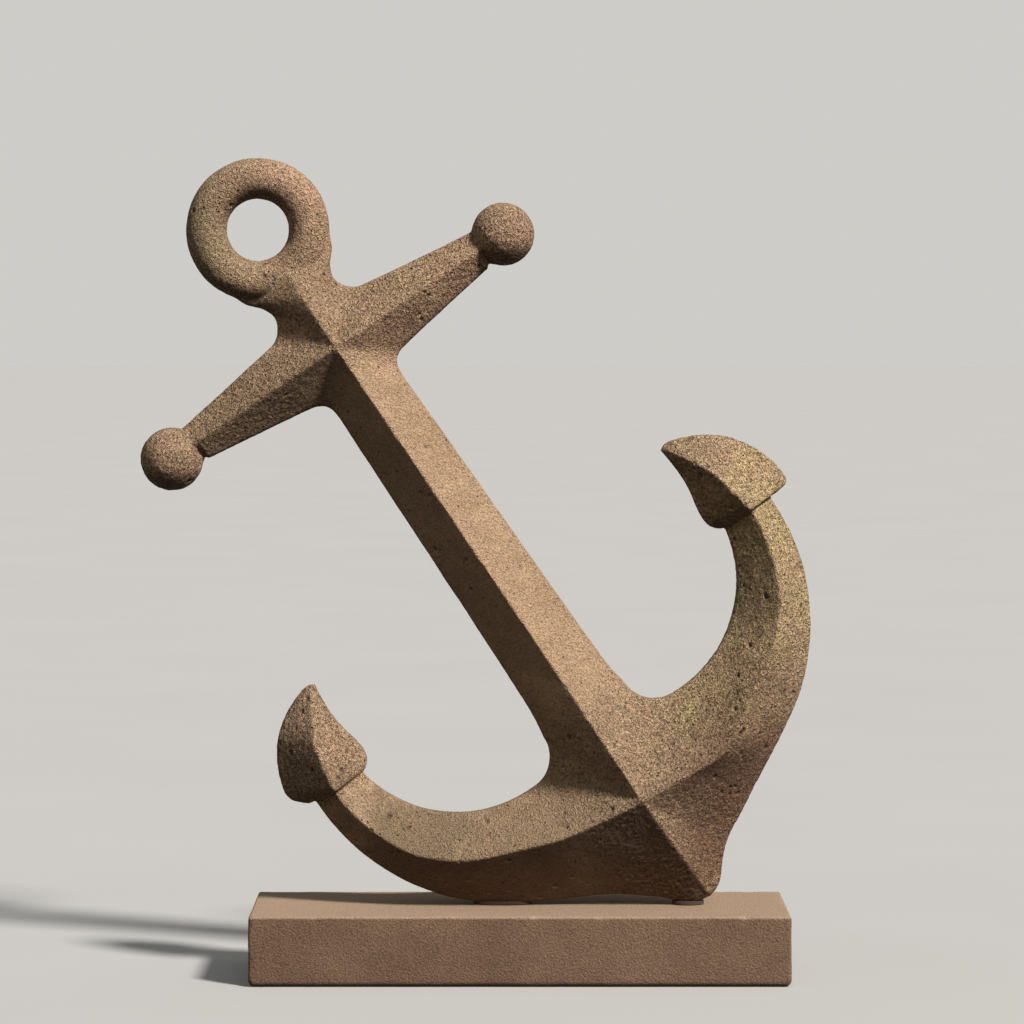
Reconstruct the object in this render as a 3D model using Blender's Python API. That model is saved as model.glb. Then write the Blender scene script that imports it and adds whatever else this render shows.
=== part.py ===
"""Ornamental anchor in cast stone, leaning on a cast-stone plinth.

Metres, +Z up. The origin is the centre of the plinth's underside, +X runs along the
plinth towards the high arm, and +Y points to the back. The anchor itself is modelled
upright in its own frame, where X runs across it, Z runs up the shank from the crown's
apex and Y is its thickness. The anchor_frame empty then leans it to its place.
"""

import math

import bmesh
import bpy
from mathutils import Vector

# Place of the anchor on its plinth.
LEAN = math.radians(34.14)
APEX_X = 0.0984
APEX_Z = 0.1499

# Plinth.
PLINTH_LENGTH = 0.4386
PLINTH_DEPTH = 0.150
PLINTH_HEIGHT = 0.057
PLINTH_EDGE = 0.003

# The gap that a filled and coloured joint, or a bar in its hole, leaves between solids.
GAP = 0.0003
HALF_GAP = GAP / 2
# Cast sections are diamonds in section. This is half the thickness left at their edges.
EDGE = 0.005

# Joint planes of the cast sections, in the anchor's frame.
SHANK_LOW = 0.115
SHANK_HIGH = 0.393
NECK_JOINT = 0.490
STOCK_JOINT = 0.052
BALL_JOINT = 0.142
ARM_JOINT = 0.075
FLUKE_JOINT = 0.141

# Shank, half width and half thickness at its two joints.
SHANK_LOW_HALF = 0.0363
SHANK_HIGH_HALF = 0.0311

# Stock and balls.
STOCK_Z = 0.441
STOCK_INNER_HALF = 0.0289
STOCK_MID_X = 0.100
STOCK_MID_HALF = 0.0217
STOCK_END_HALF = 0.0158
HUB_HEIGHT = 0.036
BALL_X = 0.1636
BALL_RADIUS = 0.0254

# Ring and its neck.
RING_Z = 0.556
RING_MAJOR = 0.0419
RING_TUBE = 0.0167
NECK_HALF = 0.029
NECK_TOP_HALF = 0.015

# Crown.
CROWN_HEIGHT = 0.066
CROWN_TIP = -0.103
CROWN_TIP_HEIGHT = 0.008
ARM_ROOT_RIDGE = -0.006
ARM_ROOT_HEIGHT = 0.051
CROOK_FILLET = (0.069, 0.081, 0.029)

# Arms: an inner and an outer arc, each as its centre and radius.
INNER_ARC = (0.075, 0.1575, 0.1055)
OUTER_ARC = (0.0426, 0.137, 0.1814)
OUTER_ARC_FOOT = (0.1335, -0.020)
ARM_ROOT_LOW = -0.052
ARM_ANGLES = (-90, -81, -71.8, -62, -52, -42, -32, -22)

# Steel bars inside the castings, and the studs that hold the anchor to its plinth.
SHANK_BAR_RADIUS = 0.006
STOCK_BAR_RADIUS = 0.005
ARM_BAR_RADIUS = 0.005
HOOP_BAR_RADIUS = 0.004
STUD_RADIUS = 0.004
NUT_FLATS = 0.013
NUT_HEIGHT = 0.0065
WASHER_RADIUS = 0.008
WASHER_THICK = 0.0016
COUNTERBORE_RADIUS = 0.010
COUNTERBORE_DEPTH = 0.014
FOOT_Z = 0.0603
ARM_STUD_X = -0.0138
ARM_STUD_TOP = 0.086
CROWN_STUD_X = 0.1385
CROWN_STUD_TOP = 0.100
STUD_BOTTOM = 0.003

# Finishes: colour, roughness, metallic.
CAST_STONE = ((0.32, 0.22, 0.14), 0.90, 0.0)
PLINTH_STONE = ((0.22, 0.13, 0.09), 0.92, 0.0)
BLACK_BAR = ((0.10, 0.09, 0.08), 0.65, 0.9)
ZINC = ((0.62, 0.63, 0.65), 0.35, 1.0)
MORTAR = ((0.20, 0.15, 0.11), 0.95, 0.0)


def clear_scene():
    for obj in list(bpy.data.objects):
        bpy.data.objects.remove(obj, do_unlink=True)


def lean_empty():
    """The anchor's own frame: everything of the anchor hangs on it."""
    empty = bpy.data.objects.new("anchor_frame", None)
    bpy.context.collection.objects.link(empty)
    empty.location = (APEX_X, 0, APEX_Z)
    empty.rotation_euler = (0, -LEAN, 0)
    return empty


def placed(name, bm, parent):
    """An object from a bmesh, with its faces turned outwards and its round faces smooth."""
    bmesh.ops.remove_doubles(bm, verts=bm.verts, dist=1e-6)
    bmesh.ops.recalc_face_normals(bm, faces=bm.faces)
    mesh = bpy.data.meshes.new(name)
    bm.to_mesh(mesh)
    bm.free()
    mesh.shade_smooth()
    mesh.set_sharp_from_angle(angle=math.radians(32))
    obj = bpy.data.objects.new(name, mesh)
    bpy.context.collection.objects.link(obj)
    obj.parent = parent
    return obj


def finished(obj, finish):
    colour, roughness, metallic = finish
    material = bpy.data.materials.new(obj.name)
    material.use_nodes = True
    shader = material.node_tree.nodes["Principled BSDF"]
    shader.inputs["Base Color"].default_value = (*colour, 1)
    shader.inputs["Roughness"].default_value = roughness
    shader.inputs["Metallic"].default_value = metallic
    obj.data.materials.append(material)
    return obj


def helper(obj):
    """Keeps a cutter or a tool body out of the part."""
    obj.hide_render = True
    obj.display_type = "WIRE"
    return obj


def boolean(obj, other, operation):
    modifier = obj.modifiers.new(other.name, "BOOLEAN")
    modifier.object = helper(other)
    modifier.operation = operation


def line(start, end, steps):
    """Points from start to end, both included."""
    a, b = Vector(start), Vector(end)
    return [a.lerp(b, i / steps) for i in range(steps + 1)]


def arc(centre_x, centre_z, radius, first, last, steps):
    """Points (x, z) on an arc, angles in degrees from +X."""
    angles = [math.radians(first + (last - first) * i / steps) for i in range(steps + 1)]
    return [(centre_x + radius * math.cos(a), centre_z + radius * math.sin(a)) for a in angles]


def edge_points(outline, half=EDGE):
    """Outline points (x, z) as points of the front half, on the thin edge of the section."""
    return [Vector((x, -half, z)) for x, z in outline]


def ridge(points):
    """Ridge points (x, z, height) as points of the front half."""
    return [Vector((x, -height, z)) for x, z, height in points]


def mirrored(strips):
    return [[[Vector((-p.x, p.y, p.z)) for p in chain] for chain in strip] for strip in strips]


def roof_solid(name, strips, parent):
    """A section with a roof on each face.

    Each strip joins an edge chain to a ridge chain with as many points. The strips tile
    the front. The back mirrors it, and a band closes the solid along its border.
    """
    bm = bmesh.new()
    for edge_chain, ridge_chain in strips:
        lower = [bm.verts.new(p) for p in edge_chain]
        upper = [bm.verts.new(p) for p in ridge_chain]
        for i in range(len(lower) - 1):
            bm.faces.new((lower[i], lower[i + 1], upper[i + 1], upper[i]))
    bmesh.ops.remove_doubles(bm, verts=bm.verts, dist=1e-6)
    bmesh.ops.triangulate(bm, faces=bm.faces)
    border = [e for e in bm.edges if e.is_boundary]
    back = {v: bm.verts.new((v.co.x, -v.co.y, v.co.z)) for v in list(bm.verts)}
    for face in list(bm.faces):
        bm.faces.new([back[v] for v in reversed(face.verts)])
    for e in border:
        a, b = e.verts
        bm.faces.new((a, b, back[b], back[a]))
    return placed(name, bm, parent)


def bar_mesh(name, path, radius, parent, sides=12):
    """A round bar along a path of (x, z) points in the middle plane, with flat ends."""
    points = [Vector((x, 0, z)) for x, z in path]
    bm = bmesh.new()
    rings = []
    for i, point in enumerate(points):
        ahead = (points[min(i + 1, len(points) - 1)] - point).normalized()
        behind = (point - points[max(i - 1, 0)]).normalized()
        along = (ahead + behind).normalized()
        across = Vector((along.z, 0, -along.x))
        turns = [2 * math.pi * (k + 0.5) / sides for k in range(sides)]
        rings.append([
            bm.verts.new(point + radius * (math.cos(t) * across + math.sin(t) * Vector((0, 1, 0))))
            for t in turns
        ])
    for ring_a, ring_b in zip(rings, rings[1:]):
        for k in range(sides):
            n = (k + 1) % sides
            bm.faces.new((ring_a[k], ring_a[n], ring_b[n], ring_b[k]))
    bm.faces.new(rings[0])
    bm.faces.new(rings[-1])
    return placed(name, bm, parent)


def bar_with_holes(name, path, radius, hosts, parent):
    """A steel bar, and the slightly wider hole for it in each casting it runs through."""
    bar = finished(bar_mesh(name, path, radius, parent), BLACK_BAR)
    first, second = Vector(path[0]), Vector(path[1])
    last, before = Vector(path[-1]), Vector(path[-2])
    start = first + (first - second).normalized() * GAP
    end = last + (last - before).normalized() * GAP
    hole_path = [start, *path[1:-1], end] if len(path) > 2 else [start, end]
    hole = bar_mesh(f"{name}_hole", hole_path, radius + GAP, parent)
    for host in hosts:
        boolean(host, hole, "DIFFERENCE")
    return bar


# The cast sections.


def shank(frame):
    low, high = SHANK_LOW + HALF_GAP, SHANK_HIGH - HALF_GAP
    steps = 4
    edge = line((SHANK_LOW_HALF, -EDGE, low), (SHANK_HIGH_HALF, -EDGE, high), steps)
    crest = line((0, -SHANK_LOW_HALF, low), (0, -SHANK_HIGH_HALF, high), steps)
    side = [[edge, crest]]
    return finished(roof_solid("shank", side + mirrored(side), frame), CAST_STONE)


def crown(frame):
    top = SHANK_LOW - HALF_GAP
    side = ARM_JOINT - HALF_GAP
    x, z, radius = CROOK_FILLET
    fillet = arc(x, z, radius, 180, 270, 6)
    crook = [(SHANK_LOW_HALF, top), (0.0371, 0.100), *fillet, (side, 0.0519)]
    flare = [(side, ARM_ROOT_LOW), (0.061, -0.060), (0.045, -0.070), (0.033, -0.080)]
    flare += [(0.022, -0.090), (0.011, -0.099), (0, CROWN_TIP)]
    port = (side, -ARM_ROOT_HEIGHT, ARM_ROOT_RIDGE)
    apex = (0, -CROWN_HEIGHT, 0)
    tip = (0, -CROWN_TIP_HEIGHT, CROWN_TIP)
    shank_crest = line((0, -SHANK_LOW_HALF, top), apex, 6)
    half = [
        [edge_points(crook), shank_crest + line(apex, port, 3)[1:]],
        [edge_points(flare), line(port, apex, 3) + line(apex, tip, 3)[1:]],
    ]
    return finished(roof_solid("crown", half + mirrored(half), frame), CAST_STONE)


def arm_outline():
    """Inner and outer points of the right arm, from the crown to the fluke."""
    cx, cz, inner_radius = INNER_ARC
    ox, oz, outer_radius = OUTER_ARC
    inner, outer = [], []
    foot_x, foot_z = OUTER_ARC_FOOT
    foot_slope = (foot_z - ARM_ROOT_LOW) / (foot_x - ARM_JOINT)
    for degrees in ARM_ANGLES:
        ray = Vector((math.cos(math.radians(degrees)), math.sin(math.radians(degrees))))
        inner.append((cx + inner_radius * ray.x, cz + inner_radius * ray.y))
        if degrees < -72:
            # Straight stretch of the outer edge between the crown's flare and the arc.
            reach = (ARM_ROOT_LOW + foot_slope * (cx - ARM_JOINT) - cz) / (ray.y - foot_slope * ray.x)
        else:
            offset = Vector((cx - ox, cz - oz))
            along = offset.dot(ray)
            reach = -along + math.sqrt(along**2 - offset.length_squared + outer_radius**2)
        outer.append((cx + reach * ray.x, cz + reach * ray.y))
    end = FLUKE_JOINT - HALF_GAP
    inner.append((cx + math.sqrt(inner_radius**2 - (cz - end) ** 2), end))
    outer.append((ox + math.sqrt(outer_radius**2 - (end - oz) ** 2), end))
    inner[0] = (ARM_JOINT + HALF_GAP, inner[0][1])
    outer[0] = (ARM_JOINT + HALF_GAP, outer[0][1])
    return inner, outer


def arm_crest(inner, outer):
    """The arm's ridge runs midway between its edges, and is as high as the arm is half wide."""
    crest = []
    for (ax, az), (bx, bz) in zip(inner, outer):
        half = math.hypot(bx - ax, bz - az) / 2
        crest.append(((ax + bx) / 2, (az + bz) / 2, 0.98 * half))
    crest[0] = (ARM_JOINT + HALF_GAP, ARM_ROOT_RIDGE, ARM_ROOT_HEIGHT)
    return crest


def arms(frame):
    inner, outer = arm_outline()
    crest = ridge(arm_crest(inner, outer))
    right = [[edge_points(inner), crest], [edge_points(outer), crest]]
    return [
        finished(roof_solid("arm_right", right, frame), CAST_STONE),
        finished(roof_solid("arm_left", mirrored(right), frame), CAST_STONE),
    ]


def flukes(frame):
    base = FLUKE_JOINT + HALF_GAP
    tip = (0.1715, 0.2225)
    outer = [tip, (0.186, 0.2228), (0.201, 0.217), (0.214, 0.2085), (0.2245, 0.199)]
    outer += [(0.2345, 0.184), (0.2405, 0.169), (0.2435, 0.153), (0.242, base)]
    inner = [tip, (0.1722, 0.2155), (0.1732, 0.202), (0.1732, 0.190), (0.172, 0.180)]
    inner += [(0.1695, 0.168), (0.1685, 0.157), (0.170, 0.148), (0.1735, base)]
    crest = [(0.1725, 0.2215, EDGE), (0.177, 0.216, 0.011), (0.184, 0.205, 0.020)]
    crest += [(0.190, 0.195, 0.027), (0.1945, 0.186, 0.031), (0.197, 0.175, 0.033)]
    crest += [(0.199, 0.163, 0.034), (0.200, 0.151, 0.033), (0.2005, base, 0.030)]
    right = [[edge_points(outer), ridge(crest)], [edge_points(inner), ridge(crest)]]
    for strip in right:
        strip[1][0] = strip[0][0].copy()
    return [
        finished(roof_solid("fluke_right", right, frame), CAST_STONE),
        finished(roof_solid("fluke_left", mirrored(right), frame), CAST_STONE),
    ]


def head_hub(frame):
    """Where shank, stock and neck cross: four ridges that meet on a low pyramid."""
    low, high = SHANK_HIGH + HALF_GAP, NECK_JOINT - HALF_GAP
    side = STOCK_JOINT - HALF_GAP
    below = [(SHANK_HIGH_HALF, low), (0.0320, 0.4015), (0.0352, 0.4068), (0.0420, 0.4103)]
    below += [(side, STOCK_Z - STOCK_INNER_HALF)]
    above = [(side, STOCK_Z + STOCK_INNER_HALF), (0.0430, 0.4718), (0.0350, 0.4765)]
    above += [(0.0305, 0.4830), (NECK_HALF, high)]
    centre = (0, -HUB_HEIGHT, STOCK_Z)
    port = (side, -STOCK_INNER_HALF, STOCK_Z)
    shank_crest = line((0, -SHANK_HIGH_HALF, low), centre, 2)
    neck_crest = line(centre, (0, -NECK_HALF, high), 2)
    half = [
        [edge_points(below), shank_crest + line(centre, port, 2)[1:]],
        [edge_points(above), line(port, centre, 2) + neck_crest[1:]],
    ]
    return finished(roof_solid("head_hub", half + mirrored(half), frame), CAST_STONE)


def stock_arms(frame):
    """Each arm of the stock tapers towards its ball, and its ridge is softer there."""
    stations = [
        (STOCK_JOINT + HALF_GAP, STOCK_INNER_HALF, STOCK_INNER_HALF, EDGE),
        (STOCK_MID_X, STOCK_MID_HALF, STOCK_MID_HALF, EDGE),
        (BALL_JOINT - HALF_GAP, STOCK_END_HALF, STOCK_END_HALF, 0.007),
    ]
    crest = [Vector((x, -height, STOCK_Z)) for x, _, height, _ in stations]
    upper = [Vector((x, -edge, STOCK_Z + half)) for x, half, _, edge in stations]
    lower = [Vector((x, -edge, STOCK_Z - half)) for x, half, _, edge in stations]
    right = [[upper, crest], [lower, crest]]
    return [
        finished(roof_solid("stock_arm_right", right, frame), CAST_STONE),
        finished(roof_solid("stock_arm_left", mirrored(right), frame), CAST_STONE),
    ]


def stock_ball(name, side, frame):
    """A ball with a flat where it sits on the end of the stock."""
    bm = bmesh.new()
    bmesh.ops.create_uvsphere(bm, u_segments=24, v_segments=14, radius=BALL_RADIUS)
    bmesh.ops.translate(bm, verts=bm.verts, vec=(side * BALL_X, 0, STOCK_Z))
    cut = bmesh.ops.bisect_plane(
        bm,
        geom=bm.verts[:] + bm.edges[:] + bm.faces[:],
        plane_co=(side * (BALL_JOINT + HALF_GAP), 0, STOCK_Z),
        plane_no=(-side, 0, 0),
        clear_outer=True,
    )
    rim = [e for e in cut["geom_cut"] if isinstance(e, bmesh.types.BMEdge)]
    bmesh.ops.contextual_create(bm, geom=rim)
    return finished(placed(name, bm, frame), CAST_STONE)


def ring_eye(frame):
    """The ring, cast in one with the neck that it stands on."""
    bm = bmesh.new()
    major_steps, minor_steps = 40, 14
    grid = []
    for i in range(major_steps):
        a = 2 * math.pi * i / major_steps
        row = []
        for k in range(minor_steps):
            b = 2 * math.pi * k / minor_steps
            reach = RING_MAJOR + RING_TUBE * math.cos(b)
            row.append(bm.verts.new((reach * math.cos(a), RING_TUBE * math.sin(b), RING_Z + reach * math.sin(a))))
        grid.append(row)
    for i in range(major_steps):
        for k in range(minor_steps):
            j, n = (i + 1) % major_steps, (k + 1) % minor_steps
            bm.faces.new((grid[i][k], grid[j][k], grid[j][n], grid[i][n]))
    obj = finished(placed("ring_eye", bm, frame), CAST_STONE)
    low = NECK_JOINT + HALF_GAP
    top = 0.520
    side_edge = [(NECK_HALF, low), (0.0335, 0.500), (0.0415, 0.510), (0.0445, top)]
    crest = line((0, -NECK_HALF, low), (0, -NECK_TOP_HALF, top), 3)
    side = [[edge_points(side_edge, 0.006), crest]]
    boolean(obj, roof_solid("ring_neck", side + mirrored(side), frame), "UNION")
    return obj


# The steel inside the castings.


def stock_bar(hosts, frame):
    end = BALL_X + 0.002
    return bar_with_holes("stock_bar", [(-end, STOCK_Z), (end, STOCK_Z)], STOCK_BAR_RADIUS, hosts, frame)


def shank_bar(hosts, frame):
    low, high = 0.020, STOCK_Z - 0.016
    return bar_with_holes("shank_bar", [(0, low), (0, high)], SHANK_BAR_RADIUS, hosts, frame)


def arm_bar(hosts, frame):
    """One bent bar from fluke to fluke, through both arms and the crown."""
    crest = arm_crest(*arm_outline())
    right = [(0, -0.006), (0.040, -0.006)] + [(x, z) for x, z, _ in crest[:-1]]
    right += [(0.2005, 0.138), (0.2003, 0.150), (0.198, 0.172)]
    left = [(-x, z) for x, z in reversed(right[1:])]
    return bar_with_holes("arm_bar", left + right, ARM_BAR_RADIUS, hosts, frame)


def ring_hoop(hosts, frame):
    """A bent hoop in the ring, with two legs down through the neck into the head."""
    leg = [(0.010, 0.452), (0.010, 0.490), (0.0125, 0.506)]
    loop = arc(0, RING_Z, RING_MAJOR, -60, 240, 25)
    path = leg + loop + [(-x, z) for x, z in reversed(leg)]
    return bar_with_holes("ring_hoop", path, HOOP_BAR_RADIUS, hosts, frame)


# The plinth and what holds the anchor on it.


def upright_cylinder(name, x, low, high, radius, sides=24, stretch=(1, 1)):
    bm = bmesh.new()
    bmesh.ops.create_cone(
        bm, cap_ends=True, segments=sides, radius1=radius, radius2=radius, depth=high - low
    )
    bmesh.ops.scale(bm, verts=bm.verts, vec=(*stretch, 1))
    bmesh.ops.translate(bm, verts=bm.verts, vec=(x, 0, (low + high) / 2))
    return placed(name, bm, None)


def plinth():
    bm = bmesh.new()
    bmesh.ops.create_cube(bm, size=1)
    bmesh.ops.scale(bm, verts=bm.verts, vec=(PLINTH_LENGTH, PLINTH_DEPTH, PLINTH_HEIGHT))
    bmesh.ops.translate(bm, verts=bm.verts, vec=(0, 0, PLINTH_HEIGHT / 2))
    bmesh.ops.bevel(
        bm, geom=bm.edges[:], offset=PLINTH_EDGE, segments=3, profile=0.5, affect="EDGES"
    )
    obj = finished(placed("plinth", bm, None), PLINTH_STONE)
    for label, x in (("arm", ARM_STUD_X), ("crown", CROWN_STUD_X)):
        bore = upright_cylinder(f"{label}_bore", x, -0.005, PLINTH_HEIGHT + 0.005, STUD_RADIUS + GAP)
        pocket = upright_cylinder(f"{label}_pocket", x, -0.005, COUNTERBORE_DEPTH, COUNTERBORE_RADIUS)
        boolean(obj, bore, "DIFFERENCE")
        boolean(obj, pocket, "DIFFERENCE")
    return obj


def stud_set(label, x, top, casting, bed_half_length, bed_half_width):
    """A stud from a casting down through its mortar bed and the plinth, with washer and nut."""
    stud = upright_cylinder(f"{label}_stud", x, STUD_BOTTOM, top, STUD_RADIUS, sides=12)
    finished(stud, ZINC)
    hole = upright_cylinder(f"{label}_stud_hole", x, FOOT_Z - 0.01, top + GAP, STUD_RADIUS + GAP)
    boolean(casting, hole, "DIFFERENCE")

    washer_top = COUNTERBORE_DEPTH - GAP
    washer_low = washer_top - WASHER_THICK
    washer = upright_cylinder(f"{label}_washer", x, washer_low, washer_top, WASHER_RADIUS)
    washer_hole = upright_cylinder(f"{label}_washer_hole", x, 0, 0.02, STUD_RADIUS + GAP)
    boolean(finished(washer, ZINC), washer_hole, "DIFFERENCE")

    nut_top = washer_low - GAP
    corner = NUT_FLATS / 2 / math.cos(math.pi / 6)
    nut = upright_cylinder(f"{label}_nut", x, nut_top - NUT_HEIGHT, nut_top, corner, sides=6)
    nut_hole = upright_cylinder(f"{label}_nut_hole", x, 0, 0.02, STUD_RADIUS + GAP)
    boolean(finished(nut, ZINC), nut_hole, "DIFFERENCE")

    bed = upright_cylinder(
        f"{label}_bed", x, PLINTH_HEIGHT + GAP, FOOT_Z - GAP, bed_half_width,
        stretch=(bed_half_length / bed_half_width, 1),
    )
    bed_hole = upright_cylinder(f"{label}_bed_hole", x, 0.05, 0.07, STUD_RADIUS + GAP)
    boolean(finished(bed, MORTAR), bed_hole, "DIFFERENCE")


def flat_feet(arm_left, crown_casting):
    """The low arm's underside is cut flat, and the crown's tip has a small flat foot."""
    bm = bmesh.new()
    bmesh.ops.create_cube(bm, size=1)
    bmesh.ops.scale(bm, verts=bm.verts, vec=(0.2, 0.2, 0.06))
    bmesh.ops.translate(bm, verts=bm.verts, vec=(ARM_STUD_X, 0, FOOT_Z - 0.03))
    boolean(arm_left, placed("arm_foot_cut", bm, None), "DIFFERENCE")
    bm = bmesh.new()
    bmesh.ops.create_cube(bm, size=1)
    bmesh.ops.scale(bm, verts=bm.verts, vec=(0.021, 0.013, 0.017))
    bmesh.ops.translate(bm, verts=bm.verts, vec=(CROWN_STUD_X, 0, FOOT_Z + 0.0085))
    boolean(crown_casting, placed("crown_foot", bm, None), "UNION")


def main():
    clear_scene()
    frame = lean_empty()
    shank_casting = shank(frame)
    crown_casting = crown(frame)
    arm_right, arm_left = arms(frame)
    fluke_right, fluke_left = flukes(frame)
    head = head_hub(frame)
    stock_right, stock_left = stock_arms(frame)
    ball_right = stock_ball("stock_ball_right", 1, frame)
    ball_left = stock_ball("stock_ball_left", -1, frame)
    ring = ring_eye(frame)
    flat_feet(arm_left, crown_casting)

    stock_bar([head, stock_right, stock_left, ball_right, ball_left], frame)
    shank_bar([crown_casting, shank_casting, head], frame)
    arm_bar([crown_casting, arm_right, arm_left, fluke_right, fluke_left], frame)
    ring_hoop([ring, head], frame)

    plinth()
    stud_set("arm", ARM_STUD_X, ARM_STUD_TOP, arm_left, 0.024, 0.008)
    stud_set("crown", CROWN_STUD_X, CROWN_STUD_TOP, crown_casting, 0.013, 0.009)


main()
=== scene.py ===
# %% [markdown]
# # A cast-stone anchor on its plinth
#
# This lesson finishes a garden ornament: an anchor cast in stone, tinted brown, which
# leans on a plain rectangular plinth. The design model already gives every piece its
# place. Here each casting gets the look of the real thing: soft ridges, a sandy skin
# with small air holes, and a patina that changes from tan to reddish brown.
#
# The first cell loads the design model as a fixed frame. Everything after it is built
# in metres in that same frame, so no piece has to be moved to fit.

import math
import random

import bmesh
import bpy
import numpy as np
from mathutils import Matrix, Vector, kdtree, noise


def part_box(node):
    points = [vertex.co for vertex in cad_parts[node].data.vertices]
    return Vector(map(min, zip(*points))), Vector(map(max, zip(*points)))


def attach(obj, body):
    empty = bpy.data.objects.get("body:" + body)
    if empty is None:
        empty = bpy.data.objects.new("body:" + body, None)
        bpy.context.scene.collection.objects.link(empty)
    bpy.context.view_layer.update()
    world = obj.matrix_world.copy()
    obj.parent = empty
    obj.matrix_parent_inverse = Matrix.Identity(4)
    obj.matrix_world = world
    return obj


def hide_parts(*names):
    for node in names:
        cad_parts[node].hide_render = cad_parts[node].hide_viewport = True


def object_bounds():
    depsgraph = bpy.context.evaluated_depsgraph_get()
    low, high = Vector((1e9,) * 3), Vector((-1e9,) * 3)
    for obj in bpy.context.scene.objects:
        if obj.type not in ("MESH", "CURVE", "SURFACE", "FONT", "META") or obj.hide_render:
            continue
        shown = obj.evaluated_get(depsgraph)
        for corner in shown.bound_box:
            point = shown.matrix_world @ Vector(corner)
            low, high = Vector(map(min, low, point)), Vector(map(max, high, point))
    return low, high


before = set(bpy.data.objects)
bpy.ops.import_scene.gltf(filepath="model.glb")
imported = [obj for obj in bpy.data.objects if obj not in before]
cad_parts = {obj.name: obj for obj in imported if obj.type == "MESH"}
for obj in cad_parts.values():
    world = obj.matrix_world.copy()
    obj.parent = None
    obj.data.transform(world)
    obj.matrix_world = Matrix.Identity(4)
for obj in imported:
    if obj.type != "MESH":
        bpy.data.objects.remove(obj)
design_low, design_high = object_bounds()
print("design box", [round(v, 4) for v in (*design_low, *design_high)])

# %% [markdown]
# The anchor leans. It is much easier to shape it upright, in its own frame, and to lean
# it at the end. The frame's X runs across the anchor, Z runs up the shank from the
# crown's apex, and Y is the thickness. The two balls of the stock tell how far it leans
# and where it is: their boxes are centred on the balls, and the stock crosses the shank
# halfway between them.

# %% The anchor's own frame
STOCK_Z = 0.441


def box_centre(node):
    low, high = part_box(node)
    return (low + high) / 2


ball_left, ball_right = box_centre("stock_ball_left"), box_centre("stock_ball_right")
stock_line = ball_right - ball_left
lean = math.atan2(stock_line.z, stock_line.x)
rotation = Matrix.Rotation(-lean, 4, "Y")
hub_place = (ball_left + ball_right) / 2
apex_place = hub_place - rotation @ Vector((0, 0, STOCK_Z))
anchor_frame = Matrix.Translation(apex_place) @ rotation
BALL_X = stock_line.length / 2
print("lean", round(math.degrees(lean), 2), "degrees; apex at", [round(v, 4) for v in apex_place])

# %% [markdown]
# Every casting has the same kind of section: a diamond, with one ridge to the front and
# one to the back. So the anchor is a roof over its own outline. Half of each roof is
# described by two curves, the outline's edge and the ridge, and straight rafters run
# between them. This is how a pattern maker would carve it too: draw the outline, draw
# the ridge line, and plane the flat from one to the other.
#
# These helpers make the curves. A smooth curve needs only the few points where its bend
# changes, because a Catmull-Rom spline passes through all of them.

# %% Curves
def arc(centre, radius, first, last, steps):
    """Points (x, z) on an arc, with angles in degrees from +X."""
    angles = np.radians(np.linspace(first, last, steps + 1))
    return np.stack([centre[0] + radius * np.cos(angles), centre[1] + radius * np.sin(angles)], 1)


def smooth_curve(points, per_span=8):
    """A Catmull-Rom spline through the points, which may have any number of coordinates."""
    p = np.asarray(points, float)
    p = np.vstack([2 * p[0] - p[1], p, 2 * p[-1] - p[-2]])
    out = []
    for a, b, c, d in zip(p, p[1:], p[2:], p[3:]):
        for t in np.arange(per_span) / per_span:
            out.append(0.5 * (2 * b + (c - a) * t + (2 * a - 5 * b + 4 * c - d) * t**2
                              + (3 * b - a - 3 * c + d) * t**3))
    return np.vstack([out, p[-2]])


def evenly(points, count):
    """The same curve as count + 1 points at equal distances along it."""
    p = np.asarray(points, float)
    gone = np.concatenate([[0], np.cumsum(np.linalg.norm(np.diff(p, axis=0), axis=1))])
    wanted = np.linspace(0, gone[-1], count + 1)
    return np.stack([np.interp(wanted, gone, p[:, i]) for i in range(p.shape[1])], 1)


def joined(*curves):
    """Curves end to end, with each shared point kept once."""
    return np.vstack([curves[0]] + [c[1:] for c in curves[1:]])


print("evenly spaced quarter arc", evenly(arc((0, 0), 1, 0, 90, 8), 3).round(3).tolist())

# %% [markdown]
# The ridge lines come first, because they carry the whole figure. A ridge point has
# three numbers: across, up, and how far it stands out from the middle plane. The shank
# is a square bar turned on its corner, so its ridge stands out as far as it is half
# wide. At the crown all four ridges climb to one apex.
#
# The arms are two arcs with different centres, so they swell towards the crown. Higher
# up, their ridge runs a little outside the middle. At the crown it differs: it is midway
# on the right arm, and further in on the left one, whose low side was left fuller to
# rest on the plinth. So these curves are kept by side, 1 for right and -1 for left.

# %% Ridge lines
HUB_APEX = (0, STOCK_Z, 0.0355)
CROWN_APEX = (0, 0, 0.069)
SHANK_STEPS, STOCK_STEPS, NECK_STEPS, ARM_STEPS, TIP_STEPS = 150, 60, 40, 130, 50

INNER_CENTRE, INNER_RADIUS = (0.075, 0.1575), 0.1055
OUTER_CENTRE, OUTER_RADIUS = (0.0426, 0.137), 0.1814
RIDGE_SHARE = 0.575


def arm_pairs():
    """Matching inner and outer points of the right arm, by rays from the inner arc's centre."""
    inner, outer = [], []
    for degrees in np.linspace(-71.8, -4, 40):
        ray = np.array([math.cos(math.radians(degrees)), math.sin(math.radians(degrees))])
        offset = np.subtract(INNER_CENTRE, OUTER_CENTRE)
        along = offset @ ray
        reach = -along + math.sqrt(along**2 - offset @ offset + OUTER_RADIUS**2)
        inner.append(INNER_CENTRE + INNER_RADIUS * ray)
        outer.append(INNER_CENTRE + reach * ray)
    return np.array(inner), np.array(outer)


arm_inner, arm_outer = arm_pairs()
arm_gone = np.linspace(0, 1, len(arm_inner))[:, None]
arm_half = np.linalg.norm(arm_outer - arm_inner, axis=1) / 2


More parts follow.
